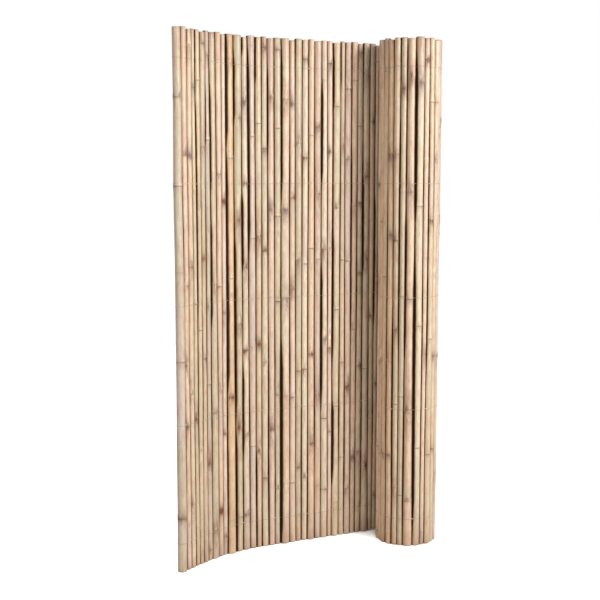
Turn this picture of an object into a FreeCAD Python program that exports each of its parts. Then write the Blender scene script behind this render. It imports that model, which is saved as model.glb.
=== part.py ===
import FreeCAD, Part
import math
import os

# Bamboo fence panel: round canes stand side by side, and five rows of doubled
# galvanised wire bind them into one sheet. The left end of the sheet comes forward,
# the sheet runs back to the right, and its right end is rolled up towards the front.
# Lengths are in millimetres and angles in degrees. X is to the right, Y is away from
# the front and Z is up. The origin is on the ground, in the middle of the footprint.

# Canes
panel_height = 1800.0
cane_gap = 1.4              # space between neighbours, which the twisted wire fills
cane_facets = 10
inner_cane_facets = 8
node_swell = 0.6            # how far a node stands proud of the cane, in radius
node_ramp = 6.0             # height of the step under a node
node_margin = 40.0          # no node is modelled nearer than this to a cut end
node_step = 3               # of each cane's nodes every third is modelled
last_single_cane = 54       # the canes after this one share a part, inside the roll

# Thickness of each cane at half its height, from the left end of the sheet
open_sheet_canes = [
    28, 23, 22, 17, 21, 22, 20, 27, 24, 18, 32, 31, 25, 26, 22, 23, 23, 23, 32,
    22, 23, 23, 24, 25, 24, 18, 28, 19, 24, 22, 21, 27, 20, 18,
]
roll_back_canes = [22, 24, 22, 25, 21, 24, 23, 22, 25, 22, 24, 23]
roll_front_canes = [23, 23, 25, 18, 28, 29, 19, 21, 22, 22, 21]
inner_turn_canes = [24, 21, 25, 21, 24, 23, 26, 21, 24, 25, 20, 25, 22]

# How much thinner each cane is at its top than at its foot, repeated along the sheet.
# A cane with a value below 0 stands on its tip end.
cane_tapers = [5, -4, -3, 5, -1, -5, 3, 4, -5, -2, 5, -2]

# Height of the lowest node of each single cane, and the length of its internodes
cane_nodes = [
    (155, 284), (355, 345), (215, 395), (100, 385), (400, 410), (352, 352), (70, 272),
    (75, 435), (190, 380), (35, 395), (140, 415), (85, 360), (125, 290), (365, 365),
    (350, 385), (270, 390), (395, 400), (235, 315), (195, 350), (200, 345), (230, 400),
    (250, 373), (325, 375), (60, 478), (145, 310), (360, 340), (115, 366), (275, 375),
    (170, 405), (315, 450), (50, 290), (245, 360), (60, 370), (110, 440), (120, 330),
    (260, 360), (60, 300), (310, 390), (200, 345), (90, 420), (330, 315), (150, 375),
    (250, 290), (40, 350), (290, 405), (180, 335), (320, 365), (335, 350), (335, 415),
    (355, 342), (370, 426), (125, 382), (185, 360), (225, 292),
]

# Unevenness of the cut ends, repeated along the sheet
foot_lifts = [0.0, 1.5, 0.0, 3.0, 0.5]
top_drops = [3.0, 0.0, 5.0, 1.5, 2.0, 7.0, 0.5]

# Plan of the sheet, along the middle of the canes
flank_heading = 53.4        # direction of the left end, from the X axis towards Y
flank_length = 124.0
bend_radius = 481.0
bend_angle = 29.0
run_length = 513.0
roll_core_radius = 70.0     # where the last turn of the roll ends
turn_clearance = 1.0        # free space between the wires of two turns

# Binding wire
wire_thickness = 1.0
wire_clearance = 0.2        # between the wire and the canes
wire_row_count = 5
wire_row_margin = 100.0     # from the ground to the lowest row, and from the top row up
wire_tail = 14.0            # the strands' straight ends, past the last cane
tail_bend = 60.0            # how far each strand turns in to reach its tail
wrap_steps = 6

diameters = open_sheet_canes + roll_back_canes + roll_front_canes + inner_turn_canes
wire_build = wire_thickness + wire_clearance


def thickness(index, height):
    taper = cane_tapers[index % len(cane_tapers)]
    return diameters[index] + taper * (0.5 - height / panel_height)


# The roll takes up the sheet that the flank, the bend and the run leave over.
rolled_canes = range(len(open_sheet_canes), len(diameters))
rolled_thickness = max(thickness(index, height)
                       for index in rolled_canes for height in (0.0, panel_height))
turn_spacing = rolled_thickness + 2 * wire_build + turn_clearance
sheet_length = sum((before + after) / 2 + cane_gap
                   for before, after in zip(diameters, diameters[1:]))
rolled_length = (sheet_length - flank_length
                 - bend_radius * math.radians(bend_angle) - run_length)
roll_radius = math.sqrt(roll_core_radius ** 2 + turn_spacing / math.pi * rolled_length)


def plan_point(travel):
    # Point and heading on the plan: a straight flank, a bend, a straight run, a spiral.
    heading = math.radians(flank_heading)
    x = min(travel, flank_length) * math.cos(heading)
    y = min(travel, flank_length) * math.sin(heading)
    travel -= flank_length
    if travel <= 0:
        return x, y, heading

    turned = min(travel / bend_radius, math.radians(bend_angle))
    x += bend_radius * (math.sin(heading) - math.sin(heading - turned))
    y += bend_radius * (math.cos(heading - turned) - math.cos(heading))
    heading -= turned
    travel -= bend_radius * math.radians(bend_angle)
    if travel <= 0:
        return x, y, heading

    x += min(travel, run_length) * math.cos(heading)
    y += min(travel, run_length) * math.sin(heading)
    travel -= run_length
    if travel <= 0:
        return x, y, heading

    centre_x = x + roll_radius * math.sin(heading)
    centre_y = y - roll_radius * math.cos(heading)
    turned = travel / roll_radius
    radius = roll_radius - turn_spacing * turned / (2 * math.pi)
    heading -= turned
    x = centre_x - radius * math.sin(heading)
    y = centre_y + radius * math.cos(heading)
    return x, y, heading


def place_canes(height):
    # At any height each cane stands beside the last one, with the gap between their
    # sides. Because the canes taper they lean a little, each in its own way.
    accuracy = 1e-7
    travel = 0.0
    places = [plan_point(travel)]
    for index in range(1, len(diameters)):
        reach = (thickness(index - 1, height) + thickness(index, height)) / 2 + cane_gap
        low = travel
        high = travel + 3 * reach
        while high - low > accuracy:
            middle = (low + high) / 2
            x, y, heading = plan_point(middle)
            if math.hypot(x - places[-1][0], y - places[-1][1]) < reach:
                low = middle
            else:
                high = middle
        travel = high
        places.append(plan_point(travel))
    return places


def lean_places(foot_places, top_places, height):
    # Where the canes' axes are at a height, on the straight lines from foot to top
    share = height / panel_height
    return [tuple(low + (high - low) * share for low, high in zip(foot, top))
            for foot, top in zip(foot_places, top_places)]


def cane_outline(index):
    # Heights and radii up one cane
    foot = foot_lifts[index % len(foot_lifts)]
    top = panel_height - top_drops[index % len(top_drops)]
    outline = [(foot, thickness(index, foot) / 2)]
    if index < last_single_cane:
        lowest, internode = cane_nodes[index]
        count = int((top - node_margin - lowest) / internode) + 1
        nodes = [lowest + internode * step for step in range(count)]
        for node in nodes[1::node_step]:
            radius = thickness(index, node) / 2
            outline.append((node - node_ramp, radius))
            outline.append((node, radius + node_swell))
    outline.append((top, thickness(index, top) / 2))
    return outline


def radius_at(outline, height):
    for (low, low_radius), (high, high_radius) in zip(outline, outline[1:]):
        if low <= height <= high:
            return low_radius + (high_radius - low_radius) * (height - low) / (high - low)
    return outline[0][1]


def make_cane(foot_place, top_place, outline, facets):
    # The facets' corners lie on the cane's round outline, and two face the wires.
    facing = (foot_place[2] + top_place[2]) / 2 + math.pi / 2
    rings = []
    for height, radius in outline:
        x, y, heading = lean_places([foot_place], [top_place], height)[0]
        corners = []
        for step in range(facets + 1):
            angle = facing + 2 * math.pi * step / facets
            out_x = radius * math.cos(angle)
            out_y = radius * math.sin(angle)
            corners.append(FreeCAD.Vector(x + out_x, y + out_y, height))
        corners[-1] = corners[0]
        rings.append(corners)

    outlines = [rings[0], rings[-1]]
    for low, high in zip(rings, rings[1:]):
        for step in range(facets):
            outlines.append([low[step], low[step + 1], high[step + 1], high[step], low[step]])
    return Part.Solid(Part.Shell([Part.Face(Part.makePolygon(line)) for line in outlines]))


def tangent_normal(first, second, side):
    # Outward direction of the line that touches two circles on one side of the sheet.
    (x0, y0, radius0), (x1, y1, radius1) = first, second
    distance = math.hypot(x1 - x0, y1 - y0)
    along = ((x1 - x0) / distance, (y1 - y0) / distance)
    slope = (radius0 - radius1) / distance
    rise = side * math.sqrt(1 - slope * slope)
    return (slope * along[0] - rise * along[1], slope * along[1] + rise * along[0])


def turn(normal, angle):
    x, y = normal
    return (x * math.cos(angle) - y * math.sin(angle), x * math.sin(angle) + y * math.cos(angle))


def corner(point, reach, first, second):
    # Where two lines meet that lie at one reach from a point, with these normals.
    share = reach / (1 + first[0] * second[0] + first[1] * second[1])
    return (point[0] + share * (first[0] + second[0]), point[1] + share * (first[1] + second[1]))


def strand_line(circles, side):
    # One strand of a row: it touches every cane, then bends in behind the last one,
    # where its tail lies beside the tail of the other strand.
    normals = [tangent_normal(a, b, side) for a, b in zip(circles, circles[1:])]
    line = [corner(circle, circle[2], before, after)
            for circle, before, after in zip(circles[1:], normals, normals[1:])]

    previous, last = circles[-2:]
    distance = math.hypot(last[0] - previous[0], last[1] - previous[1])
    ahead = ((last[0] - previous[0]) / distance, (last[1] - previous[1]) / distance)
    outward = turn(ahead, side * math.pi / 2)
    bend_in = math.radians(tail_bend)
    line.append(corner(last, last[2], normals[-1], turn(outward, -side * bend_in)))
    offset = wire_build / 2
    reach = (last[2] - offset * math.cos(bend_in)) / math.sin(bend_in)
    for travel in (reach, reach + wire_tail):
        line.append((last[0] + travel * ahead[0] + offset * outward[0],
                     last[1] + travel * ahead[1] + offset * outward[1]))
    return line


def make_wire(places, outlines, height):
    # One wire doubled round the first cane, with a strand on each side of the sheet.
    circles = [(x, y, radius_at(outline, height) + wire_clearance + wire_thickness / 2)
               for (x, y, heading), outline in zip(places, outlines)]
    first = circles[0]
    back = tangent_normal(first, circles[1], 1)
    front = tangent_normal(first, circles[1], -1)
    sweep = 2 * math.pi - math.acos(back[0] * front[0] + back[1] * front[1])
    wrap = [turn(back, sweep * step / wrap_steps) for step in range(wrap_steps + 1)]
    line = list(reversed(strand_line(circles, 1)))
    line += [corner(first, first[2], a, b) for a, b in zip(wrap, wrap[1:])]
    line += strand_line(circles, -1)

    normals = []
    for (x0, y0), (x1, y1) in zip(line, line[1:]):
        length = math.hypot(x1 - x0, y1 - y0)
        normals.append((-(y1 - y0) / length, (x1 - x0) / length))
    normals = [normals[0]] + normals + [normals[-1]]
    left = []
    right = []
    for point, before, after in zip(line, normals, normals[1:]):
        left.append(corner(point, wire_thickness / 2, before, after))
        right.append(corner(point, -wire_thickness / 2, before, after))
    outline = [FreeCAD.Vector(x, y, height - wire_thickness / 2) for x, y in left + right[::-1]]
    face = Part.Face(Part.makePolygon(outline + outline[:1]))
    return face.extrude(FreeCAD.Vector(0, 0, wire_thickness))


def build_panel():
    foot_places = place_canes(0.0)
    top_places = place_canes(panel_height)
    outlines = [cane_outline(index) for index in range(len(diameters))]
    parts = {}
    inner = []
    for index, (foot, top, outline) in enumerate(zip(foot_places, top_places, outlines)):
        if index < last_single_cane:
            parts["cane_%02d" % (index + 1)] = make_cane(foot, top, outline, cane_facets)
        else:
            inner.append(make_cane(foot, top, outline, inner_cane_facets))
    parts["inner_turn_canes"] = Part.makeCompound(inner)

    row_spacing = (panel_height - 2 * wire_row_margin) / (wire_row_count - 1)
    for row in range(wire_row_count):
        height = wire_row_margin + row * row_spacing
        places = lean_places(foot_places, top_places, height)
        parts["binding_wire_%d" % (row + 1)] = make_wire(places, outlines, height)
    return parts


def export_parts(parts):
    box = Part.makeCompound(list(parts.values())).optimalBoundingBox(False)
    to_origin = FreeCAD.Vector(-(box.XMin + box.XMax) / 2, -(box.YMin + box.YMax) / 2, 0)
    os.makedirs("parts", exist_ok=True)
    for name, shape in parts.items():
        shape.translate(to_origin)
        shape.exportStep("parts/%s.step" % name)


export_parts(build_panel())
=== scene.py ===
import bmesh
import bpy
import math
import numpy as np
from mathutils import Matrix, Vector


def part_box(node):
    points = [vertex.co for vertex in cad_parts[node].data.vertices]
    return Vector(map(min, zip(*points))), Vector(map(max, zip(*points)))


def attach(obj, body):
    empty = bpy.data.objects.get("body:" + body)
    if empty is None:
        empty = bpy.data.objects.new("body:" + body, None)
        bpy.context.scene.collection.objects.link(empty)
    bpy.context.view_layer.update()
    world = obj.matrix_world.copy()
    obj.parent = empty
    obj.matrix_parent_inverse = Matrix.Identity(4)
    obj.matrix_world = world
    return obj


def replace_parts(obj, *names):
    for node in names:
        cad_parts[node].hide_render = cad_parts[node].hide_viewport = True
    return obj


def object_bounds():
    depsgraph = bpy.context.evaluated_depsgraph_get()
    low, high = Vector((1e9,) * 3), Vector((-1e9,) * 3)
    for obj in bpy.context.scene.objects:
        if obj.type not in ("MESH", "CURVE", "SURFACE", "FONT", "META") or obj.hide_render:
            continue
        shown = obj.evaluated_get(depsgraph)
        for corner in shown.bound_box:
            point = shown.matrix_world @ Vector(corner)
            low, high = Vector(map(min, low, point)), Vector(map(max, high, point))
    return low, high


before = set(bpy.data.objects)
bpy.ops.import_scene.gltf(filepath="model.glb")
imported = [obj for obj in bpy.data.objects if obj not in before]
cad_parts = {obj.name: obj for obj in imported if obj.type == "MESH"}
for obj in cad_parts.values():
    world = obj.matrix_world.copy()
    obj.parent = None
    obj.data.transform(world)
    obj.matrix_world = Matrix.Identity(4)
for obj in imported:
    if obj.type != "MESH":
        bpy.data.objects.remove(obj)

cad_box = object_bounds()

# The canes
# Round bamboo culms, dried and straw-coloured, sawn to one length and stood side by side.
# They are hollow between their nodes, and only the wires that run round them hold them.

last_single_cane = 54       # the canes after it share one node
front_cane_count = 34       # the canes of the open sheet; the rest are rolled up
segments = 24
ring_angles = np.linspace(0, 2 * math.pi, segments, endpoint=False)
plain_ring_spacing = 0.030
solid_node_step = 3         # a cane's solid has every third of its nodes
long_internode = 0.390      # of a cane whose solid has only one node
short_internode = 0.330
internode_spread = 0.14     # share by which internodes differ from each other
end_margin = 0.022          # no node lies nearer than this to a sawn end
wall_share = 0.30           # culm wall as a share of the radius
fullness = 0.0006           # how far the round culm stands outside its faceted solid
box_margin = 0.0003         # between the canes and the sides of the panel's box
saw_bevel = 0.0006
hollow_depth = 0.085        # where no node closes the culm sooner
bore_taper = 0.96           # the bore's width at its floor, as a share of that at the cut
groove_depth = 0.0007
groove_width = 0.42         # in radians
groove_start = 0.004        # above the node
groove_length = 0.198
ovality = 0.006
kink_along = 0.0002         # how far a cane wanders at its nodes, along the sheet
kink_across = 0.0018        # and through the sheet
weld_distance = 1e-5        # corners of a solid nearer than this are one corner

# Height above the sheath scar, and how far the culm stands out there
node_profile = [
    (-0.0600, 0.00000), (-0.0300, 0.00000), (-0.0200, 0.00002), (-0.0130, 0.00006),
    (-0.0080, 0.00018), (-0.0045, 0.00038), (-0.0022, 0.00060), (-0.0009, 0.00072),
    (0.0002, 0.00055), (0.0012, 0.00010), (0.0026, 0.00035), (0.0050, 0.00090),
    (0.0072, 0.00085), (0.0110, 0.00030), (0.0160, 0.00008), (0.0220, 0.00003),
    (0.0320, 0.00000), (0.0600, 0.00000),
]
node_reach = node_profile[-1][0]
rise_steps, swell_steps = zip(*node_profile)

# How a node is marked: the dark line of the sheath scar, the pale ridge above it, and
# the stain round them with the distance over which it fades
node_marks = {
    "faint": {"scar": 0.22, "ridge": 0.06, "stain": 0.35, "reach": 0.024, "size": 0.6},
    "line": {"scar": 0.95, "ridge": 0.20, "stain": 0.50, "reach": 0.012, "size": 0.7},
    "ring": {"scar": 1.00, "ridge": 0.85, "stain": 0.60, "reach": 0.014, "size": 1.3},
    "band": {"scar": 0.55, "ridge": 0.10, "stain": 1.20, "reach": 0.036, "size": 0.8},
    "dark": {"scar": 1.00, "ridge": 0.05, "stain": 1.80, "reach": 0.014, "size": 0.9},
    "knot": {"scar": 0.90, "ridge": 0.35, "stain": 1.20, "reach": 0.018, "size": 1.2},
    "twig": {"scar": 0.95, "ridge": 0.55, "stain": 1.10, "reach": 0.022, "size": 1.25},
}
common_marks = ["faint", "line", "ring", "band", "dark", "knot"]
common_shares = [0.26, 0.18, 0.07, 0.26, 0.13, 0.10]
scar_band = (-0.0012, 0.0020)   # heights above a node between which the scar is painted
ridge_band = (0.0030, 0.0090)   # and the ridge
patchiness = 0.22           # how much of its strength a mark loses in places round the cane
most_patches = 3            # round the cane

# The nodes that stand out: the cane, the height of the node and how it is marked
plain_to_see = [
    (1, 0.440, "faint"), (1, 0.715, "ring"), (1, 1.010, "faint"), (1, 1.575, "knot"),
    (2, 0.493, "dark"), (2, 0.965, "band"), (2, 1.390, "band"), (3, 0.600, "band"),
    (3, 1.025, "band"), (3, 1.390, "dark"), (3, 1.745, "band"), (4, 0.510, "band"),
    (4, 0.900, "line"), (4, 1.275, "faint"), (4, 1.610, "knot"), (5, 0.400, "band"),
    (5, 0.810, "line"), (5, 1.215, "band"), (5, 1.635, "line"), (6, 0.710, "dark"),
    (6, 1.050, "knot"), (6, 1.420, "band"), (6, 1.755, "dark"), (7, 0.618, "line"),
    (7, 1.160, "faint"), (8, 0.517, "knot"), (8, 0.960, "band"), (9, 0.590, "band"),
    (10, 0.435, "dark"), (10, 0.858, "band"), (10, 1.240, "dark"), (11, 0.560, "dark"),
    (11, 0.975, "line"), (11, 1.385, "ring"), (12, 0.450, "band"), (12, 0.814, "band"),
    (12, 1.175, "band"), (12, 1.520, "band"), (13, 0.415, "twig"), (13, 0.720, "dark"),
    (13, 1.010, "band"), (13, 1.300, "dark"), (13, 1.576, "band"), (14, 0.373, "line"),
    (14, 1.110, "line"), (14, 1.460, "ring"), (15, 0.354, "band"), (15, 0.737, "knot"),
    (15, 1.118, "band"), (15, 1.505, "line"), (16, 0.252, "ring"), (16, 0.672, "band"),
    (16, 1.065, "dark"), (16, 1.420, "dark"), (16, 1.763, "dark"), (17, 1.595, "band"),
    (18, 0.206, "knot"), (18, 0.885, "ring"), (18, 1.185, "ring"), (18, 1.490, "line"),
    (18, 1.757, "dark"), (19, 1.210, "band"), (19, 1.590, "band"), (20, 0.537, "line"),
    (20, 0.926, "band"), (20, 1.250, "dark"), (20, 1.575, "band"), (21, 1.030, "band"),
    (21, 1.440, "band"), (22, 0.235, "twig"), (22, 0.635, "dark"), (22, 1.015, "line"),
    (22, 1.390, "dark"), (22, 1.730, "dark"), (23, 0.360, "band"), (23, 0.688, "dark"),
    (23, 1.070, "line"), (23, 1.468, "line"), (24, 1.030, "band"), (24, 1.498, "band"),
    (25, 0.448, "line"), (25, 0.740, "twig"), (25, 1.065, "band"), (25, 1.365, "faint"),
    (26, 0.705, "dark"), (26, 1.070, "band"), (26, 1.411, "dark"), (26, 1.720, "dark"),
    (27, 0.490, "ring"), (27, 0.845, "ring"), (27, 1.571, "line"), (28, 1.025, "line"),
    (28, 1.232, "dark"), (29, 0.560, "band"), (29, 1.020, "line"), (29, 1.385, "knot"),
    (29, 1.634, "dark"), (30, 0.290, "band"), (30, 0.769, "band"), (30, 1.219, "band"),
    (30, 1.665, "line"), (31, 0.310, "band"), (31, 0.635, "dark"), (31, 0.975, "dark"),
    (31, 1.230, "dark"), (31, 1.504, "line"), (31, 1.765, "band"), (32, 0.253, "band"),
    (32, 0.620, "ring"), (32, 1.025, "band"), (33, 0.430, "band"), (33, 0.815, "dark"),
    (33, 1.521, "dark"), (34, 0.560, "dark"), (47, 1.260, "faint"), (48, 1.580, "line"),
    (49, 0.330, "line"), (49, 0.750, "ring"), (49, 1.170, "dark"), (50, 1.380, "faint"),
    (51, 0.360, "line"), (51, 0.800, "line"), (51, 1.220, "ring"), (51, 1.645, "band"),
    (52, 0.502, "band"), (52, 0.895, "ring"), (52, 1.270, "band"), (52, 1.665, "band"),
    (53, 1.270, "faint"), (54, 0.785, "band"), (54, 1.400, "twig"), (55, 1.120, "dark"),
    (56, 1.460, "faint"), (57, 1.165, "line"),
]
snap_reach = 0.19           # a node this near to one that stands out moves to its height
bud_width = 0.42            # dark bud scar on the front of a knot, in radians
bud_height = 0.008
bud_darkness = 0.9
bud_wander = 0.5            # how far to a side it lies at most, in radians
twig_radius = 0.0024        # stub of a branch that was cut off
twig_length = 0.0055
twig_rise = 0.0065          # from the node to the stub
twig_sink = 0.002           # how deep it starts inside the skin
twig_tilt = 0.7             # above level, in radians
twig_outline = [(0.0, 1.25), (0.55, 1.05), (0.92, 1.0), (1.0, 0.86)]    # shares of length, radius
twig_sides = 8

# Gaps where the crease between two canes gets a darker painted shade, for the dark that shows
# where they part: the cane on the left, the middle and half the length of the gap, and how dark it is
painted_dark_gaps = [
    (4, 1.20, 0.45, 0.8), (6, 1.52, 0.12, 0.8), (7, 1.45, 0.22, 0.8), (7, 1.00, 0.22, 0.9),
    (10, 1.62, 0.22, 0.9), (10, 1.15, 0.30, 0.8), (10, 0.80, 0.26, 0.9), (11, 1.62, 0.14, 0.7),
    (11, 0.80, 0.40, 0.9), (11, 0.20, 0.30, 0.9), (12, 1.78, 0.06, 0.9), (12, 1.13, 0.16, 1.0),
    (12, 0.50, 0.20, 0.9), (13, 1.40, 0.42, 1.0), (14, 1.74, 0.12, 0.8), (14, 0.15, 0.24, 0.8),
    (16, 1.55, 0.18, 0.7), (16, 0.15, 0.22, 0.6), (18, 1.50, 0.30, 0.7), (18, 0.36, 0.46, 1.0),
    (24, 1.48, 0.22, 1.0), (24, 0.76, 0.30, 1.0), (26, 1.66, 0.12, 0.8), (26, 0.90, 0.30, 0.8),
    (26, 0.36, 0.18, 1.0), (27, 1.72, 0.10, 0.8), (27, 1.20, 0.30, 0.6), (29, 1.10, 0.40, 0.7),
    (31, 1.15, 0.22, 0.9), (33, 1.02, 0.30, 1.0), (34, 0.90, 0.90, 0.9),
    (49, 1.10, 0.60, 0.6), (50, 0.60, 0.50, 0.6), (51, 1.45, 0.34, 1.0), (51, 0.55, 0.60, 1.0),
    (52, 0.95, 0.30, 0.8), (53, 1.10, 0.50, 0.7), (54, 0.50, 0.40, 0.7),
]
gap_steepness = 1.6         # how fast the painted shade of a listed dark gap grows from its ends
plain_gap_dark = 0.6        # the most painted shade that any other gap has
gap_knots = 9               # heights between which a gap's darkness wavers
crease_shade_width = 0.38           # painted shade in the crease between two canes, in radians
dark_gap_shade_width = 0.62      # how much wider the painted shade is at a dark gap
crease_shade_unit = 0.30            # how far in from its edge the painted shade is full, in radians
unshaded_skin = -2.0           # measure of the painted shade on skin far from any crease

# Colours of the dried skin, and the one that each cane has, from the left end: the open
# sheet, the roll's back and its front. The canes inside the roll take one at random.
skin_tones = {
    "olive": "#CEC2A4", "green": "#C4C0A2", "cream": "#E7D9BF", "straw": "#DFCFAB",
    "peach": "#EDCDB1", "honey": "#E4BF96", "pink": "#E8CCBB", "lilac": "#D1BFB7",
    "tan": "#D6BA9A",
}
cane_tones = [
    "olive", "pink", "cream", "straw", "peach", "peach", "lilac", "olive", "lilac", "pink",
    "honey", "olive", "cream", "lilac", "olive", "cream", "pink", "green", "cream", "pink",
    "olive", "cream", "peach", "lilac", "cream", "pink", "olive", "olive", "pink", "peach",
    "straw", "olive", "honey", "tan",
    "straw", "olive", "peach", "cream", "tan", "straw", "green", "cream", "lilac", "peach",
    "straw", "tan",
    "tan", "peach", "olive", "peach", "cream", "peach", "olive", "peach",
    "honey", "tan", "honey",
]
second_tones = ["cream", "olive", "peach", "lilac", "pink", "green", "honey"]
end_tones = ["#B48C76", "#A8918A", "#BF9A7C"]
scar_colour = "#5A4032"
ridge_colour = "#F0E3D0"
sawn_colour = "#A98C6C"

# How the canes differ from each other
tone_strength = (0.92, 1.04)
second_strength = (0.90, 1.04)
second_share = 0.28         # of the second tone at an end of an internode, on average
second_spread = 0.34
carried_share = 0.45        # of the nodes across which the tone goes on unchanged
side_share = 0.30           # how much more of the second tone one side of a cane has
weathered_reach = (0.020, 0.120)    # from the cut ends
weathered_share = (0.15, 0.85)
grain_shift = 3.7           # from each cane's grain to the next one's, in metres

rng = np.random.default_rng(23)


def linear(colour):
    # An sRGB hex colour as linear red, green and blue
    values = [int(colour[start:start + 2], 16) / 255 for start in (1, 3, 5)]
    return np.array([v / 12.92 if v <= 0.04045 else ((v + 0.055) / 1.055) ** 2.4 for v in values])


def wrapped(angle):
    # An angle as one between minus and plus half a turn
    return (angle + math.pi) % (2 * math.pi) - math.pi


def ring_faces(low, high, sides):
    # The faces between two rings of points, each given by the number of its first point
    faces = []
    for step in range(sides):
        ahead = (step + 1) % sides
        faces.append((low + step, low + ahead, high + ahead, high + step))
    return faces


def read_cane(points):
    # A cane's foot, lean, heights and radii, from the corners of its solid
    points = np.array(points)
    heights = points[:, 2].round(5)
    levels = sorted(set(heights))
    centres = []
    radii = []
    for level in levels:
        ring = points[heights == level][:, :2]
        centres.append((ring.min(axis=0) + ring.max(axis=0)) / 2)
        radii.append(np.linalg.norm(ring - centres[-1], axis=1).max())
    lean = (centres[-1] - centres[0]) / (levels[-1] - levels[0])
    return {"foot": centres[0], "lean": lean, "levels": levels, "radii": radii}


def read_group(obj):
    # The separate canes of one node, each as its list of corners
    mesh = bmesh.new()
    mesh.from_mesh(obj.data)
    bmesh.ops.remove_doubles(mesh, verts=mesh.verts, dist=weld_distance)
    unseen = set(mesh.verts)
    groups = []
    while unseen:
        front = [unseen.pop()]
        group = []
        while front:
            vert = front.pop()
            group.append(tuple(vert.co))
            for edge in vert.link_edges:
                other = edge.other_vert(vert)
                if other in unseen:
                    unseen.remove(other)
                    front.append(other)
        groups.append(group)
    mesh.free()
    return groups


canes = []
for number in range(1, last_single_cane + 1):
    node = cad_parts["cane_%02d" % number]
    canes.append(read_cane([tuple(vert.co) for vert in node.data.vertices]))
# The canes of the inner turn, in order along the sheet
inner = [read_cane(group) for group in read_group(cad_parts["inner_turn_canes"])]
while inner:
    nearest = min(inner, key=lambda cane: np.linalg.norm(cane["foot"] - canes[-1]["foot"]))
    inner = [cane for cane in inner if cane is not nearest]
    canes.append(nearest)
cane_count = len(canes)


def internode(usual):
    # The length of one internode
    return usual * rng.uniform(1 - internode_spread, 1 + internode_spread)


def find_nodes(cane, number):
    # Nodes go on from those of the solid, up and down the cane, each with its mark. The
    # solid has corners at its foot, just below and at each of its nodes, and at its top.
    foot, top = cane["levels"][0], cane["levels"][-1]
    known = cane["levels"][2:-1:2]
    usual = long_internode if len(known) == 1 else short_internode
    if not known:
        known = [foot + internode(usual)]
    if len(known) > 1:
        usual = (known[1] - known[0]) / solid_node_step
    nodes = list(known)
    for low, high in zip(known, known[1:]):
        nodes += [low + (high - low) * part / solid_node_step for part in range(1, solid_node_step)]
    nodes = sorted(nodes)
    while nodes[-1] < top:
        nodes.append(nodes[-1] + internode(usual))
    while nodes[0] > foot:
        nodes.insert(0, nodes[0] - internode(usual))

    marks = list(rng.choice(common_marks, len(nodes), p=common_shares))
    for cane_number, height, mark in plain_to_see:
        nearest = min(range(len(nodes)), key=lambda place: abs(nodes[place] - height))
        if cane_number == number and abs(nodes[nearest] - height) < snap_reach:
            nodes[nearest] = height
            marks[nearest] = mark
    kept = [(height, mark) for height, mark in zip(nodes, marks)
            if foot + end_margin < height < top - end_margin]
    return [height for height, mark in kept], [mark for height, mark in kept]


for index, cane in enumerate(canes):
    before = canes[max(index - 1, 0)]["foot"]
    after = canes[min(index + 1, cane_count - 1)]["foot"]
    along = (after - before) / np.linalg.norm(after - before)
    cane["along"] = along
    cane["across"] = np.array([along[1], -along[0]])
    # In the roll the back of the sheet is its outer side.
    cane["outward"] = 1 if index < front_cane_count else -1
    cane["nodes"], cane["marks"] = find_nodes(cane, index + 1)
    cane["knots"] = np.array([cane["levels"][0]] + cane["nodes"] + [cane["levels"][-1]])
    knot_count = len(cane["knots"])
    cane["kinks_along"] = rng.uniform(-kink_along, kink_along, knot_count)
    cane["kinks_across"] = rng.uniform(-kink_across, kink_across, knot_count)
    main = cane_tones[index] if index < len(cane_tones) else rng.choice(second_tones)
    cane["tone"] = linear(skin_tones[main]) * rng.uniform(*tone_strength)
    cane["second_tone"] = linear(skin_tones[rng.choice(second_tones)]) * rng.uniform(*second_strength)
    # Share of the second tone at the foot and at the top of each internode
    cane["drift"] = np.clip(rng.normal(second_share, second_spread, (2, knot_count - 1)), 0, 1)
    carried = rng.random(knot_count - 2) < carried_share
    cane["drift"][0][1:][carried] = cane["drift"][1][:-1][carried]
    cane["end_tone"] = linear(rng.choice(end_tones))
    cane["end_reach"] = rng.uniform(*weathered_reach, 2)
    cane["end_share"] = rng.uniform(*weathered_share, 2)

# How dark the painted shade in the gap to the right of each cane is, at heights evenly spaced up it
gap_wavers = rng.uniform(0.0, plain_gap_dark, (cane_count, gap_knots))


def plain_radius(cane, height):
    # The culm's radius with no node
    low, high = cane["levels"][0], cane["levels"][-1]
    share = (height - low) / (high - low)
    return cane["radii"][0] * (1 - share) + cane["radii"][-1] * share + fullness


def swelling(cane, height):
    # How far the culm stands out at a height, for the nodes near it
    height = np.asarray(height, dtype=float)
    swell = np.zeros_like(height)
    for node, mark in zip(cane["nodes"], cane["marks"]):
        size = node_marks[mark]["size"]
        swell += np.interp(height - node, rise_steps, swell_steps) * size
    return swell


def centre(index, height):
    # The middle of a cane at some heights, kept inside the panel's box
    cane = canes[index]
    height = np.atleast_1d(height)
    along = np.interp(height, cane["knots"], cane["kinks_along"])
    across = np.interp(height, cane["knots"], cane["kinks_across"])
    place = (cane["foot"] + np.outer(height - cane["levels"][0], cane["lean"])
             + np.outer(along, cane["along"]) + np.outer(across, cane["across"]))
    reach = (plain_radius(cane, height) + swelling(cane, height) + box_margin)[:, None]
    return np.clip(place, np.array(cad_box[0][:2]) + reach, np.array(cad_box[1][:2]) - reach)


def gap_painted_shade(left_index, height):
    # How dark the painted shade in the gap to the right of a cane is, from 0 to 1
    depth = np.interp(height, np.linspace(0, canes[0]["levels"][-1], gap_knots),
                      gap_wavers[left_index])
    for left_cane, middle, half_length, dark in painted_dark_gaps:
        if left_cane == left_index + 1:
            fade = gap_steepness * (1 - ((height - middle) / half_length) ** 2)
            depth = np.maximum(depth, dark * np.clip(fade, 0, 1))
    return depth


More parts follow.
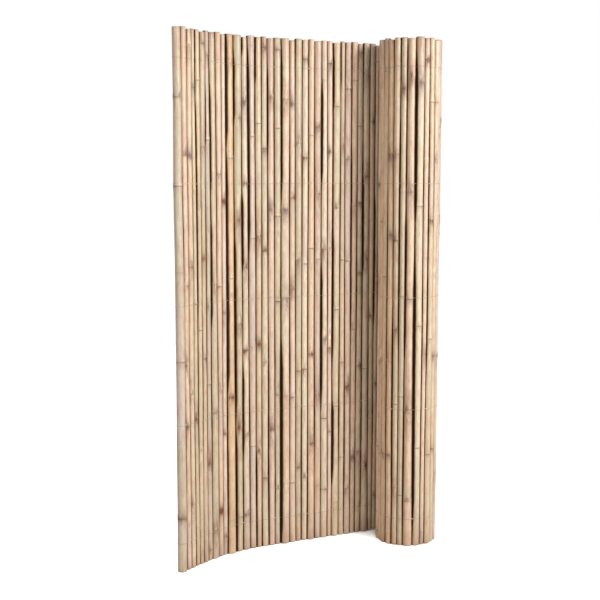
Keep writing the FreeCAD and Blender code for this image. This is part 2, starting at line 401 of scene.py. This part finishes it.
def crease_painted_shade(index, height):
    # How far inside the painted crease shade a point is that faces a neighbour: 0 at the shade's
    # edge, which lies further out at the dark gaps, and below 0 on the unshaded skin
    here = centre(index, height)
    crease_shade = np.full((len(height), segments), unshaded_skin)
    for other, left in ((index - 1, index - 1), (index + 1, index)):
        if not 0 <= other < cane_count:
            continue
        there = centre(other, height) - here
        facing = np.arctan2(there[:, 1], there[:, 0])[:, None]
        turn = wrapped(ring_angles[None, :] - facing)
        # depth here is how dark the painted shade of the gap is
        depth = gap_painted_shade(left, height)[:, None]
        width = crease_shade_width + dark_gap_shade_width * depth
        crease_shade = np.maximum(crease_shade, (width - np.abs(turn)) / crease_shade_unit)
    return crease_shade


def skin_colour(index, height, side_turn):
    # The skin's own colour, which drifts up the cane and round it and weathers at the ends
    cane = canes[index]
    knots = cane["knots"]
    part = np.clip(np.searchsorted(knots, height) - 1, 0, len(knots) - 2)
    share = (height - knots[part]) / (knots[part + 1] - knots[part])
    weight = cane["drift"][0][part] * (1 - share) + cane["drift"][1][part] * share
    weight = weight[:, None] + side_share * np.cos(ring_angles - side_turn)[None, :]
    weight = np.clip(weight, 0, 1)[:, :, None]
    colour = cane["tone"] * (1 - weight) + cane["second_tone"] * weight
    ends = (height - knots[0], knots[-1] - height)
    for distance, reach, strength in zip(ends, cane["end_reach"], cane["end_share"]):
        weather = (strength * np.exp(-(distance / reach) ** 2))[:, None, None]
        colour = colour * (1 - weather) + cane["end_tone"] * weather
    return colour


def mark_nodes(index, height, colour):
    # Paints the scars, ridges and buds of the nodes; gives the stain round them
    cane = canes[index]
    stain = np.zeros((len(height), segments))
    front = math.atan2(*(cane["across"] * cane["outward"])[::-1])
    for node, mark in zip(cane["nodes"], cane["marks"]):
        look = node_marks[mark]
        rise = (height - node)[:, None]
        patch_count = rng.integers(1, most_patches + 1)
        patch_turn = rng.uniform(0, 6)
        patches = np.cos(patch_count * ring_angles + patch_turn)
        patchy = 1 - patchiness + patchiness * patches[None, :]
        scar = look["scar"] * patchy * ((rise > scar_band[0]) & (rise < scar_band[1]))
        ridge = look["ridge"] * patchy * ((rise > ridge_band[0]) & (rise < ridge_band[1]))
        stain = np.maximum(stain, look["stain"] * patchy * np.exp(-np.abs(rise) / look["reach"]))
        if mark in ("knot", "twig"):
            turn = wrapped(ring_angles[None, :] - front - rng.uniform(-bud_wander, bud_wander))
            bud = np.exp(-(turn / bud_width) ** 2 - ((rise - bud_height) / bud_height) ** 2)
            scar = np.maximum(scar, bud_darkness * bud)
        for share, paint in ((ridge, ridge_colour), (scar, scar_colour)):
            colour = colour * (1 - share[:, :, None]) + linear(paint) * share[:, :, None]
    return colour, stain


def add_twig(index, node, points, faces, materials):
    # The stub of a cut branch, which leans up and out from just above a node
    cane = canes[index]
    outward = np.append(cane["across"] * cane["outward"], 0.0)
    upward = np.array([0.0, 0.0, 1.0])
    sideways = np.cross(upward, outward)
    lean = outward * math.cos(twig_tilt) + upward * math.sin(twig_tilt)
    across = np.cross(sideways, lean)
    height = node + twig_rise
    base = np.append(centre(index, height)[0], height)
    base = base + outward * (plain_radius(cane, height) - twig_sink)
    last_ring = None
    for travel, radius in twig_outline:
        ring = len(points)
        for step in range(twig_sides):
            angle = 2 * math.pi * step / twig_sides
            offset = sideways * math.cos(angle) + across * math.sin(angle)
            points.append(tuple(base + lean * travel * twig_length + offset * twig_radius * radius))
        if last_ring is not None:
            faces += ring_faces(last_ring, ring, twig_sides)
            materials += [0] * twig_sides
        last_ring = ring
    faces.append(tuple(range(last_ring, last_ring + twig_sides)))
    materials.append(1)


def add_sawn_end(index, end, side, last_ring, points, faces, materials):
    # A sawn end, from the ring of points next to it: a bevel, the end of the wall, the bore
    # and the wall across the bore. The side is 1 at the foot and -1 at the top.
    cane = canes[index]
    depth = min([abs(node - end) for node in cane["nodes"]] + [hollow_depth])
    edge = plain_radius(cane, end)
    bore = edge * (1 - wall_share)
    x, y = centre(index, end)[0]
    rings = [(edge - saw_bevel, end), (bore, end), (bore * bore_taper, end + side * depth)]
    for reach, height in rings:
        ring = len(points)
        points += [(x + reach * math.cos(a), y + reach * math.sin(a), height) for a in ring_angles]
        faces += [face[::-side] for face in ring_faces(last_ring, ring, segments)]
        last_ring = ring
    faces.append(tuple(range(last_ring, last_ring + segments))[::-side])
    materials += [1] * (len(rings) * segments + 1)


def ring_heights(cane):
    # The heights of a culm's rings of points: close together at the nodes, wider between
    foot, top = cane["levels"][0], cane["levels"][-1]
    heights = {foot + saw_bevel, top - saw_bevel}
    for node in cane["nodes"]:
        heights |= {node + rise for rise in rise_steps}
    for height in np.arange(foot + plain_ring_spacing / 2, top, plain_ring_spacing):
        if all(abs(height - node) > node_reach for node in cane["nodes"]):
            heights.add(height)
    return np.array(sorted(h for h in heights if foot + saw_bevel <= h <= top - saw_bevel))


def make_cane(index):
    # One culm: points, faces, the faces' materials, and the points' looks, which are
    # their tone, stain, painted crease shade and place in the grain
    cane = canes[index]
    heights = ring_heights(cane)
    oval_turn = rng.uniform(0, math.pi)
    groove_turn = rng.uniform(0, 2 * math.pi)
    side_turn = rng.uniform(0, 2 * math.pi)

    # Above each node a shallow groove runs up the side where a branch grew
    part = np.searchsorted(cane["nodes"], heights)
    above = heights - cane["knots"][part]
    fade = np.clip(1 - above / groove_length, 0, 1) * ((part > 0) & (above > groove_start))
    turn = wrapped(ring_angles[None, :] - groove_turn - math.pi * (part % 2)[:, None])
    oval = 1 + ovality * (np.cos(2 * (ring_angles - oval_turn)) - 1)
    radius = plain_radius(cane, heights)[:, None] * oval
    radius = radius + swelling(cane, heights)[:, None]
    radius = radius - groove_depth * fade[:, None] * np.exp(-(turn / groove_width) ** 2)
    place = centre(index, heights)
    round_x = radius * np.cos(ring_angles)
    round_y = radius * np.sin(ring_angles)
    level = np.repeat(heights[:, None], segments, axis=1)
    points = np.stack([place[:, :1] + round_x, place[:, 1:] + round_y, level], axis=2)
    points = [tuple(point) for point in points.reshape(-1, 3)]
    colour, stain = mark_nodes(index, heights, skin_colour(index, heights, side_turn))
    # Painted shade in the creases between canes
    crease_shade = crease_painted_shade(index, heights)
    grain = np.stack([round_x, round_y, level + index * grain_shift], axis=2)

    faces = []
    last_ring = (len(heights) - 1) * segments
    for ring in range(0, last_ring, segments):
        faces += ring_faces(ring, ring + segments, segments)
    materials = [0] * len(faces)
    add_sawn_end(index, cane["levels"][0], 1, 0, points, faces, materials)
    add_sawn_end(index, cane["levels"][-1], -1, last_ring, points, faces, materials)
    for node, mark in zip(cane["nodes"], cane["marks"]):
        if mark == "twig":
            add_twig(index, node, points, faces, materials)

    # The ends and the stubs have no stain or painted crease shade, and the colour of old sawn wood
    added = len(points) - grain.shape[0] * segments
    added_points = np.array(points[-added:]) - (*place[0], 0.0)
    colour = np.vstack([colour.reshape(-1, 3), np.tile(linear(sawn_colour), (added, 1))])
    looks = {
        "tone": np.hstack([colour, np.ones((len(colour), 1))]),
        "stain": np.append(stain.ravel(), np.zeros(added)),
        "crease_shade": np.append(crease_shade.ravel(), np.zeros(added)),
        "grain": np.vstack([grain.reshape(-1, 3), added_points]),
    }
    return points, faces, materials, looks


def add_node(tree, kind, settings=(), links=()):
    # One shader node, with its settings and the sockets that feed it
    node = tree.nodes.new(kind)
    for name, value in dict(settings).items():
        if isinstance(name, str) and hasattr(node, name):
            setattr(node, name, value)
        else:
            node.inputs[name].default_value = value
    for name, source in dict(links).items():
        tree.links.new(source, node.inputs[name])
    return node


def rgba(colour):
    # A hex colour as the four numbers that a colour socket takes
    return (*linear(colour), 1.0)


def bamboo_skin():
    # Dried culm skin: a satin, slightly waxy rind with fine fibres that run up the cane,
    # lilac and brown stains round the nodes, mould specks, and painted shade in the creases.
    material = bpy.data.materials.new("bamboo_skin")
    material.use_nodes = True
    tree = material.node_tree
    shader = tree.nodes["Principled BSDF"]
    tone = add_node(tree, "ShaderNodeAttribute", {"attribute_name": "tone"})
    grain = add_node(tree, "ShaderNodeAttribute", {"attribute_name": "grain"})
    stain = add_node(tree, "ShaderNodeAttribute", {"attribute_name": "stain"})
    crease_shade = add_node(tree, "ShaderNodeAttribute", {"attribute_name": "crease_shade"})

    # Each pattern is laid out in repeats a metre, worked out from its width round the cane
    # and its length up it. Fibres 0.8 mm wide and 83 mm long
    fibre_place = add_node(tree, "ShaderNodeVectorMath", {"operation": "MULTIPLY", 1: (1250, 1250, 12)},
                           {0: grain.outputs["Vector"]})
    fibre = add_node(tree, "ShaderNodeTexNoise", {"Scale": 1.0, "Detail": 3.0, "Roughness": 0.6},
                     {"Vector": fibre_place.outputs[0]})
    fibre_shade = add_node(tree, "ShaderNodeMapRange",
                           {"From Min": 0.3, "From Max": 0.7, "To Min": 0.86, "To Max": 1.07},
                           {"Value": fibre.outputs["Fac"]})
    # Streaks 5 mm wide and 250 mm long, some of old straw and some of lilac grey
    streak_place = add_node(tree, "ShaderNodeVectorMath", {"operation": "MULTIPLY", 1: (200, 200, 4)},
                            {0: grain.outputs["Vector"]})
    streak = add_node(tree, "ShaderNodeTexNoise", {"Scale": 1.0, "Detail": 3.0},
                      {"Vector": streak_place.outputs[0]})
    straw_share = add_node(tree, "ShaderNodeMapRange",
                           {"From Min": 0.50, "From Max": 0.66, "To Min": 0.0, "To Max": 0.50},
                           {"Value": streak.outputs["Fac"]})
    lilac_share = add_node(tree, "ShaderNodeMapRange",
                           {"From Min": 0.49, "From Max": 0.33, "To Min": 0.0, "To Max": 0.55},
                           {"Value": streak.outputs["Fac"]})
    strawed = add_node(tree, "ShaderNodeMix", {"data_type": "RGBA", 7: rgba("#D6BA91")},
                       {0: straw_share.outputs[0], 6: tone.outputs["Color"]})
    streaked = add_node(tree, "ShaderNodeMix", {"data_type": "RGBA", 7: rgba("#CDB9AC")},
                        {0: lilac_share.outputs[0], 6: strawed.outputs[2]})

    # Mottling 8.3 mm wide and 40 mm long, of pink brown and of grey green
    mottle_place = add_node(tree, "ShaderNodeVectorMath", {"operation": "MULTIPLY", 1: (120, 120, 25)},
                            {0: grain.outputs["Vector"]})
    mottle = add_node(tree, "ShaderNodeTexNoise", {"Scale": 1.0, "Detail": 3.0, "Roughness": 0.6},
                      {"Vector": mottle_place.outputs[0]})
    rosy_share = add_node(tree, "ShaderNodeMapRange",
                          {"From Min": 0.50, "From Max": 0.68, "To Min": 0.0, "To Max": 0.55},
                          {"Value": mottle.outputs["Fac"]})
    sage_share = add_node(tree, "ShaderNodeMapRange",
                          {"From Min": 0.50, "From Max": 0.32, "To Min": 0.0, "To Max": 0.50},
                          {"Value": mottle.outputs["Fac"]})
    rosy = add_node(tree, "ShaderNodeMix", {"data_type": "RGBA", 7: rgba("#C79B84")},
                    {0: rosy_share.outputs[0], 6: streaked.outputs[2]})
    mottled = add_node(tree, "ShaderNodeMix", {"data_type": "RGBA", 7: rgba("#D3CCAC")},
                       {0: sage_share.outputs[0], 6: rosy.outputs[2]})

    # Patches 18 mm wide and 59 mm long, strongest at the nodes. They are brown or purplish
    # grey, in fields 50 mm wide and 333 mm long.
    patch_place = add_node(tree, "ShaderNodeVectorMath", {"operation": "MULTIPLY", 1: (55, 55, 17)},
                           {0: grain.outputs["Vector"]})
    patch = add_node(tree, "ShaderNodeTexNoise", {"Scale": 1.0, "Detail": 5.0, "Roughness": 0.68},
                     {"Vector": patch_place.outputs[0]})
    patch_mask = add_node(tree, "ShaderNodeMapRange",
                          {"From Min": 0.36, "From Max": 0.58, "To Min": 0.0, "To Max": 1.0},
                          {"Value": patch.outputs["Fac"]})
    stain_reach = add_node(tree, "ShaderNodeMath", {"operation": "MULTIPLY_ADD", 1: 0.80, 2: 0.16},
                           {0: stain.outputs["Fac"]})
    stain_mask = add_node(tree, "ShaderNodeMath", {"operation": "MULTIPLY"},
                          {0: patch_mask.outputs[0], 1: stain_reach.outputs[0]})
    hue_place = add_node(tree, "ShaderNodeVectorMath", {"operation": "MULTIPLY", 1: (20, 20, 3)},
                         {0: grain.outputs["Vector"]})
    hue = add_node(tree, "ShaderNodeTexNoise", {"Scale": 1.0, "Detail": 1.0},
                   {"Vector": hue_place.outputs[0]})
    hue_share = add_node(tree, "ShaderNodeMapRange", {"From Min": 0.42, "From Max": 0.58},
                         {"Value": hue.outputs["Fac"]})
    stain_colour = add_node(tree, "ShaderNodeMix",
                            {"data_type": "RGBA", 6: rgba("#6E412C"), 7: rgba("#786059")},
                            {0: hue_share.outputs[0]})
    stained = add_node(tree, "ShaderNodeMix", {"data_type": "RGBA"},
                       {0: stain_mask.outputs[0], 6: mottled.outputs[2], 7: stain_colour.outputs[2]})

    # Mould specks, the darkest spots of a pattern 2.6 mm wide and 5 mm long, far apart
    speck_place = add_node(tree, "ShaderNodeVectorMath", {"operation": "MULTIPLY", 1: (380, 380, 200)},
                           {0: grain.outputs["Vector"]})
    speck = add_node(tree, "ShaderNodeTexNoise", {"Scale": 1.0, "Detail": 1.0},
                     {"Vector": speck_place.outputs[0]})
    speck_mask = add_node(tree, "ShaderNodeMapRange",
                          {"From Min": 0.70, "From Max": 0.78, "To Min": 0.0, "To Max": 0.60},
                          {"Value": speck.outputs["Fac"]})
    specked = add_node(tree, "ShaderNodeMix", {"data_type": "RGBA", 7: rgba("#5A4233")},
                       {0: speck_mask.outputs[0], 6: stained.outputs[2]})
    shaded = add_node(tree, "ShaderNodeVectorMath", {"operation": "SCALE"},
                      {0: specked.outputs[2], "Scale": fibre_shade.outputs[0]})
    # Towards the crease an ochre painted shade stands for the warm light that the canes throw on
    # each other. Then comes the painted shade of the crease itself, with a ragged edge, brown at
    # first and nearly black deeper in the crease.
    ragged = add_node(tree, "ShaderNodeMath", {"operation": "MULTIPLY_ADD", 1: 0.9, 2: -0.45},
                      {0: patch.outputs["Fac"]})
    crease_shade_reach = add_node(tree, "ShaderNodeMath", {"operation": "ADD"},
                          {0: crease_shade.outputs["Fac"], 1: ragged.outputs[0]})
    rim_shade_share = add_node(tree, "ShaderNodeMapRange",
                         {"From Min": -1.30, "From Max": 0.10, "To Max": 0.62},
                         {"Value": crease_shade_reach.outputs[0]})
    rim_shaded = add_node(tree, "ShaderNodeMix", {"data_type": "RGBA", 7: rgba("#B88B57")},
                      {0: rim_shade_share.outputs[0], 6: shaded.outputs[0]})
    # The painted shade of the crease: how much of it, and its colour from brown to nearly black
    crease_shade_share = add_node(tree, "ShaderNodeMapRange", {"From Min": -0.10, "From Max": 0.35},
                          {"Value": crease_shade_reach.outputs[0]})
    crease_shade_darkness = add_node(tree, "ShaderNodeMapRange", {"From Min": 0.20, "From Max": 1.00},
                          {"Value": crease_shade_reach.outputs[0]})
    crease_shade_colour = add_node(tree, "ShaderNodeMix",
                           {"data_type": "RGBA", 6: rgba("#7A5433"), 7: rgba("#120B07")},
                           {0: crease_shade_darkness.outputs[0]})
    crease_shaded = add_node(tree, "ShaderNodeMix", {"data_type": "RGBA"},
                       {0: crease_shade_share.outputs[0], 6: rim_shaded.outputs[2], 7: crease_shade_colour.outputs[2]})
    skin_roughness = add_node(tree, "ShaderNodeMapRange", {"To Min": 0.30, "To Max": 0.56},
                               {"Value": patch.outputs["Fac"]})
    roughness = add_node(tree, "ShaderNodeMapRange", {"To Max": 0.95},
                         {"Value": crease_shade_share.outputs[0], "To Min": skin_roughness.outputs[0]})
    bump = add_node(tree, "ShaderNodeBump", {"Strength": 0.35, "Distance": 0.0002},
                    {"Height": fibre.outputs["Fac"]})
    shader.inputs["IOR"].default_value = 1.5
    shader.inputs["Specular IOR Level"].default_value = 0.5
    tree.links.new(crease_shaded.outputs[2], shader.inputs["Base Color"])
    tree.links.new(roughness.outputs[0], shader.inputs["Roughness"])
    tree.links.new(bump.outputs[0], shader.inputs["Normal"])
    return material


def sawn_bamboo():
    # Sawn end of the culm wall: matt, dusty, with the dark dots of the fibre bundles.
    material = bpy.data.materials.new("sawn_bamboo")
    material.use_nodes = True
    tree = material.node_tree
    shader = tree.nodes["Principled BSDF"]
    grain = add_node(tree, "ShaderNodeAttribute", {"attribute_name": "grain"})
    # Bundles 0.6 mm apart
    bundles = add_node(tree, "ShaderNodeTexVoronoi", {"Scale": 1600.0},
                       {"Vector": grain.outputs["Vector"]})
    colour = add_node(tree, "ShaderNodeMix",
                      {"data_type": "RGBA", 6: rgba("#7C5F45"), 7: rgba("#D2B68F")},
                      {0: bundles.outputs["Distance"]})
    shader.inputs["Roughness"].default_value = 0.85
    tree.links.new(colour.outputs[2], shader.inputs["Base Color"])
    return material


skin = bamboo_skin()
sawn = sawn_bamboo()


def cane_object(name, indexes):
    # The canes of one node as one object that takes its place
    points, faces, materials, looks = [], [], [], []
    for index in indexes:
        start = len(points)
        cane_points, cane_faces, cane_materials, cane_looks = make_cane(index)
        points += cane_points
        faces += [tuple(start + corner for corner in face) for face in cane_faces]
        materials += cane_materials
        looks.append(cane_looks)
    mesh = bpy.data.meshes.new(name)
    mesh.from_pydata(np.clip(points, cad_box[0], cad_box[1]).tolist(), [], faces)
    mesh.materials.append(skin)
    mesh.materials.append(sawn)
    mesh.polygons.foreach_set("material_index", materials)
    mesh.polygons.foreach_set("use_smooth", [material == 0 for material in materials])
    # One of these layers carries the painted shade of the creases between canes.
    layers = (("tone", "FLOAT_COLOR", "color"), ("stain", "FLOAT", "value"),
              ("crease_shade", "FLOAT", "value"), ("grain", "FLOAT_VECTOR", "vector"))
    for title, kind, field in layers:
        layer = mesh.attributes.new(title, kind, "POINT")
        layer.data.foreach_set(field, np.concatenate([look[title] for look in looks]).ravel())
    obj = bpy.data.objects.new(name + "_culm", mesh)
    bpy.context.scene.collection.objects.link(obj)
    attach(obj, "root")
    return obj


for number in range(1, last_single_cane + 1):
    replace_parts(cane_object("cane_%02d" % number, [number - 1]), "cane_%02d" % number)
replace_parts(cane_object("inner_turn", range(last_single_cane, cane_count)), "inner_turn_canes")

# The binding wires
# Five rows of thin galvanised steel wire. Each row is one wire doubled round the first
# cane. Its two strands are twisted in every gap, where they change sides of the sheet.

wire_row_count = 5
wire_radius = 0.0005
wire_clearance = 0.0002
strand_lift = 0.00062       # from the middle of the twist to each strand
twist_forward = (0.28, 0.70)    # where a twist lies, as a share of the radius in front of the middle
twist_half_turns = 3
twist_steps = 8
wire_waver = 0.0015         # unevenness of a row's height
waver_canes = 6             # from one rise or fall of a row to the next
tail_length = 0.013
tail_turns = 3
tail_turn_steps = 8
tube_sides = 6
arc_step = 0.42             # in radians
fewest_arc_steps = 3


def round_cane(place, reach, before, after, side):
    # A strand's way round one cane, on one side of it, from the gap before to the one after
    first, last = before - place, after - place
    first_angle = math.atan2(first[1], first[0])
    turned = (math.atan2(last[1], last[0]) - first_angle) % (2 * math.pi)
    if (math.atan2(side[1], side[0]) - first_angle) % (2 * math.pi) > turned:
        turned -= 2 * math.pi
    steps = max(int(abs(turned) / arc_step), fewest_arc_steps)
    angles = [first_angle + turned * step / steps for step in range(1, steps)]
    return [(place[0] + reach * math.cos(a), place[1] + reach * math.sin(a)) for a in angles]


def wire_row(level):
    # The two strands of one row: the points of each, and where the wire is sharply bent
    places = np.array([centre(index, level)[0] for index in range(cane_count)])
    reaches = [float(plain_radius(cane, level) + swelling(cane, level)) + wire_clearance + wire_radius
               for cane in canes]
    wavers = np.arange(0, cane_count, waver_canes)
    heights = level + np.interp(np.arange(cane_count), wavers,
                                rng.uniform(-wire_waver, wire_waver, len(wavers)))
    bloom = rng.random(cane_count) ** 2

    # The twist in each gap: its middle, the ways along and out of the sheet, its length
    twists = []
    for index in range(cane_count - 1):
        ahead = places[index + 1] - places[index]
        spacing = np.linalg.norm(ahead)
        ahead /= spacing
        outward = np.array([ahead[1], -ahead[0]]) * canes[index]["outward"]
        reach = (reaches[index] + reaches[index + 1]) / 2
        forward = twist_forward[0] + (twist_forward[1] - twist_forward[0]) * bloom[index]
        middle = (places[index] + places[index + 1]) / 2 + outward * forward * reach
        length = max(spacing - 2 * reach * math.sqrt(1 - forward ** 2), 2 * wire_radius)
        twists.append((middle, ahead, outward, length))
    start = places[0] - canes[0]["along"] * reaches[0]
    along = canes[-1]["along"]
    across = canes[-1]["across"]
    end = places[-1] + along * (reaches[-1] + wire_radius)

    # Each strand passes in front of one cane and behind the next.
    strands = []
    for strand in (0, 1):
        line = [(*start, heights[0])]
        bent = [0.0]
        for index in range(cane_count):
            in_front = (index + strand) % 2 == 0
            side = canes[index]["across"] * canes[index]["outward"] * (1 if in_front else -1)
            before = twists[index - 1][0] if index else start
            after = twists[index][0] if index < cane_count - 1 else end
            for x, y in round_cane(places[index], reaches[index], before, after, side):
                line.append((x, y, heights[index]))
                bent.append(0.0)
            if index == cane_count - 1:
                continue
            middle, ahead, outward, length = twists[index]
            for step in range(twist_steps + 1):
                share = step / twist_steps
                angle = (math.pi / 2 if in_front else -math.pi / 2) + share * twist_half_turns * math.pi
                place = middle + ahead * length * (share - 0.5)
                place = place + outward * strand_lift * math.sin(angle)
                height = heights[index] * (1 - share) + heights[index + 1] * share
                line.append((*place, height + strand_lift * math.cos(angle)))
                bent.append(bloom[index])
        # The strands' ends are twisted into a straight tail past the last cane.
        for step in range(tail_turn_steps * tail_turns + 1):
            travel = tail_length * step / (tail_turn_steps * tail_turns)
            angle = 2 * math.pi * step / tail_turn_steps + strand * math.pi
            place = end + along * travel + across * strand_lift * math.cos(angle)
            line.append((*place, heights[-1] + strand_lift * math.sin(angle)))
            bent.append(1.0)
        strands.append((line, bent))
    return strands


def tube(line, points, faces):
    # A round wire along a line of points
    line = np.array(line)
    ahead = np.gradient(line, axis=0)
    ahead /= np.linalg.norm(ahead, axis=1)[:, None]
    sideways = np.cross(ahead, (0, 0, 1))
    sideways /= np.linalg.norm(sideways, axis=1)[:, None]
    upward = np.cross(sideways, ahead)
    start = len(points)
    for place, side, up in zip(line, sideways, upward):
        for step in range(tube_sides):
            angle = 2 * math.pi * step / tube_sides
            points.append(tuple(place + wire_radius * (math.cos(angle) * side + math.sin(angle) * up)))
    last_ring = len(points) - tube_sides
    for ring in range(start, last_ring, tube_sides):
        faces += ring_faces(ring, ring + tube_sides, tube_sides)
    faces.append(tuple(reversed(range(start, start + tube_sides))))
    faces.append(tuple(range(last_ring, last_ring + tube_sides)))


def galvanised_steel():
    # Zinc-coated soft steel wire: dull grey metal, with white bloom where the twists have
    # crazed the zinc.
    material = bpy.data.materials.new("galvanised_steel")
    material.use_nodes = True
    tree = material.node_tree
    shader = tree.nodes["Principled BSDF"]
    place = add_node(tree, "ShaderNodeTexCoord")
    bent = add_node(tree, "ShaderNodeAttribute", {"attribute_name": "bent"})
    # Patches of about 4 mm
    cloud = add_node(tree, "ShaderNodeTexNoise", {"Scale": 250.0, "Detail": 2.0},
                     {"Vector": place.outputs["Object"]})
    uneven = add_node(tree, "ShaderNodeMath", {"operation": "MULTIPLY_ADD", 1: 0.6, 2: -0.3},
                      {0: cloud.outputs["Fac"]})
    bloom = add_node(tree, "ShaderNodeMath", {"operation": "ADD", "use_clamp": True},
                     {0: bent.outputs["Fac"], 1: uneven.outputs[0]})
    colour = add_node(tree, "ShaderNodeMix",
                      {"data_type": "RGBA", 6: rgba("#9A9182"), 7: rgba("#F0EEE6")},
                      {0: bloom.outputs[0]})
    roughness = add_node(tree, "ShaderNodeMapRange", {"To Min": 0.35, "To Max": 0.60},
                         {"Value": bloom.outputs[0]})
    shader.inputs["Metallic"].default_value = 1.0
    tree.links.new(colour.outputs[2], shader.inputs["Base Color"])
    tree.links.new(roughness.outputs[0], shader.inputs["Roughness"])
    return material


zinc = galvanised_steel()
for row in range(1, wire_row_count + 1):
    low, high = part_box("binding_wire_%d" % row)
    points, faces, bends = [], [], []
    for line, bent in wire_row((low[2] + high[2]) / 2):
        tube(line, points, faces)
        bends += np.repeat(bent, tube_sides).tolist()
    mesh = bpy.data.meshes.new("binding_wire_%d" % row)
    mesh.from_pydata(np.clip(points, cad_box[0], cad_box[1]).tolist(), [], faces)
    mesh.materials.append(zinc)
    mesh.polygons.foreach_set("use_smooth", [True] * len(faces))
    layer = mesh.attributes.new("bent", "FLOAT", "POINT")
    layer.data.foreach_set("value", bends)
    obj = bpy.data.objects.new("binding_wire_%d_strands" % row, mesh)
    bpy.context.scene.collection.objects.link(obj)
    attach(obj, "root")
    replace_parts(obj, "binding_wire_%d" % row)

# The studio
# A wide pale floor, a white surround, one large soft light from the right, a weaker one
# from the left and one for the back, and the camera at the photograph's angle.

floor_size = 60.0
shadow_reach = 0.25         # how far from the panel the floor is darkened by it
floor_glow = 0.88           # white to the eye of the camera alone
surround_light = 0.24       # what the white surround gives the object
aim_height = 0.95

floor_mesh = bpy.data.meshes.new("studio_floor")
half = floor_size / 2
floor_mesh.from_pydata([(-half, -half, 0), (half, -half, 0), (half, half, 0), (-half, half, 0)],
                       [], [(0, 1, 2, 3)])
floor = bpy.data.objects.new("studio_floor", floor_mesh)
bpy.context.scene.collection.objects.link(floor)

# Matt white floor paint. It glows to the camera alone, and not where the panel shades it.
paint = bpy.data.materials.new("white_floor_paint")
paint.use_nodes = True
tree = paint.node_tree
shader = tree.nodes["Principled BSDF"]
shader.inputs["Base Color"].default_value = rgba("#E2DFD8")
shader.inputs["Roughness"].default_value = 0.9
shader.inputs["Emission Color"].default_value = (1.0, 1.0, 1.0, 1.0)
light_path = add_node(tree, "ShaderNodeLightPath")
openness = add_node(tree, "ShaderNodeAmbientOcclusion", {"Distance": shadow_reach, "samples": 12})
open_glow = add_node(tree, "ShaderNodeMapRange",
                     {"From Min": 0.20, "From Max": 0.42, "To Max": floor_glow},
                     {"Value": openness.outputs["AO"]})
glow = add_node(tree, "ShaderNodeMath", {"operation": "MULTIPLY"},
                {0: light_path.outputs["Is Camera Ray"], 1: open_glow.outputs[0]})
tree.links.new(glow.outputs[0], shader.inputs["Emission Strength"])
floor_mesh.materials.append(paint)

# The surround is white to the camera and in reflections, and much weaker as a light.
world = bpy.data.worlds.new("studio")
world.use_nodes = True
bpy.context.scene.world = world
tree = world.node_tree
surround = tree.nodes["Background"]
surround.inputs["Color"].default_value = (1.0, 1.0, 1.0, 1.0)
light_path = add_node(tree, "ShaderNodeLightPath")
seen = add_node(tree, "ShaderNodeMath", {"operation": "MAXIMUM"},
                {0: light_path.outputs["Is Camera Ray"], 1: light_path.outputs["Is Glossy Ray"]})
strength = add_node(tree, "ShaderNodeMapRange", {"To Min": surround_light},
                    {"Value": seen.outputs[0]})
tree.links.new(strength.outputs[0], surround.inputs["Strength"])

lamps = {
    "key_light": {"place": (3.3, -2.4, 2.4), "size": 1.8, "energy": 182.0},
    "fill_light": {"place": (-1.6, -3.6, 1.7), "size": 2.4, "energy": 40.0},
    "rear_light": {"place": (-0.6, 4.0, 2.4), "size": 2.4, "energy": 110.0},
}
for name, lamp in lamps.items():
    light = bpy.data.lights.new(name, "AREA")
    light.shape = "DISK"
    light.size = lamp["size"]
    light.energy = lamp["energy"]
    obj = bpy.data.objects.new(name, light)
    obj.location = lamp["place"]
    aim = Vector((0.0, 0.0, aim_height)) - obj.location
    obj.rotation_euler = aim.to_track_quat("-Z", "Y").to_euler()
    bpy.context.scene.collection.objects.link(obj)

camera_place = (-0.0452, -3.6553, 1.302)
camera_pitch = 6.36         # degrees below level
camera_data = bpy.data.cameras.new("camera")
camera_data.sensor_width = 36.0
camera_data.lens = 63.0
camera = bpy.data.objects.new("camera", camera_data)
camera.location = camera_place
camera.rotation_euler = (math.radians(90 - camera_pitch), 0.0, 0.0)
bpy.context.scene.collection.objects.link(camera)
bpy.context.scene.camera = camera
bpy.context.scene.view_settings.view_transform = "Standard"
